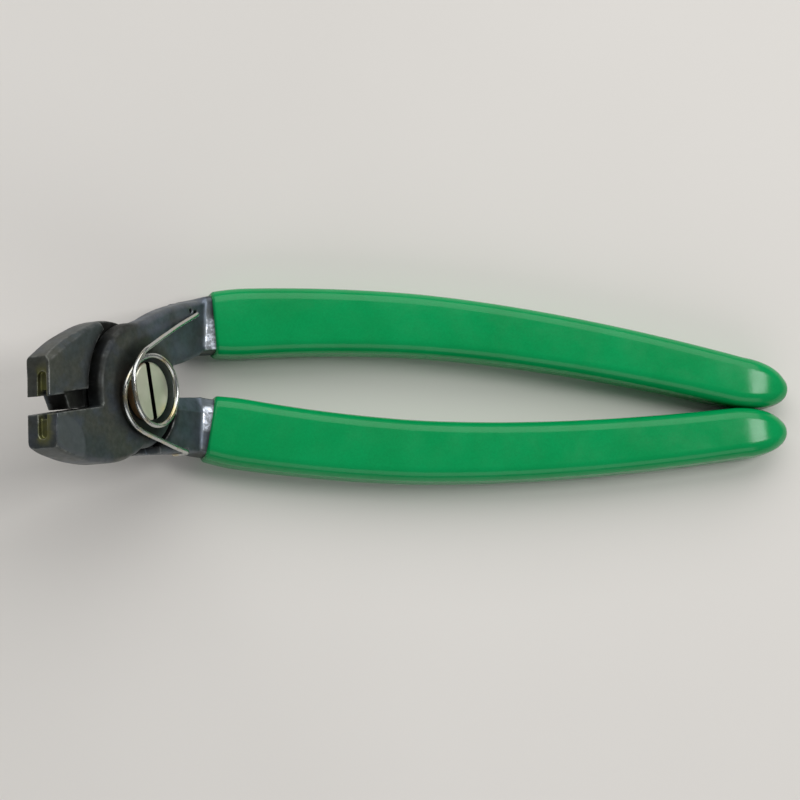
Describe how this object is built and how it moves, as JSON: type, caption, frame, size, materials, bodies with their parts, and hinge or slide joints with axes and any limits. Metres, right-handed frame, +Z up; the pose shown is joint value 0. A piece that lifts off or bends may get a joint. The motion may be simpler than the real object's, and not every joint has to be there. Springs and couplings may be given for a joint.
{
  "type": "spring-closed ring pliers",
  "caption": "Ring-closing pliers with an angled head, a notch between the jaws for an open ring, a coil return spring and dipped grips.",
  "frame": {"origin": "bottom centre of the closed tool's box, on the surface that the grips lie on", "axes": "+X from the jaws to the ends of the grips, +Y from the lower grip to the upper grip, +Z up, out of the face that carries the spring"},
  "size_m": [0.1802, 0.0466, 0.0464],
  "materials": {
    "forged_steel": "satin gunmetal forged steel",
    "nickel_plate": "satin nickel plate",
    "zinc_plate": "dull zinc plate",
    "spring_wire": "bright drawn wire",
    "green_vinyl": "glossy dipped vinyl"
  },
  "bodies": {
    "back": {"back_half": "forged_steel", "lower_grip": "green_vinyl", "pivot_screw": "nickel_plate", "pivot_washer": "zinc_plate", "pivot_nut": "zinc_plate", "return_spring": "spring_wire"},
    "front": {"front_half": "forged_steel", "upper_grip": "green_vinyl"}
  },
  "joints": [
    {"name": "pivot_hinge", "type": "hinge", "parent": "back", "child": "front", "pos_m": [-0.06506, -0.00554, 0.02213], "axis": [0.7071, 0, 0.7071], "range_deg": [0, 26], "stiffness_Nm_per_rad": 0.12, "springref_deg": -40.11, "deforming": ["return_spring"]}
  ]
}
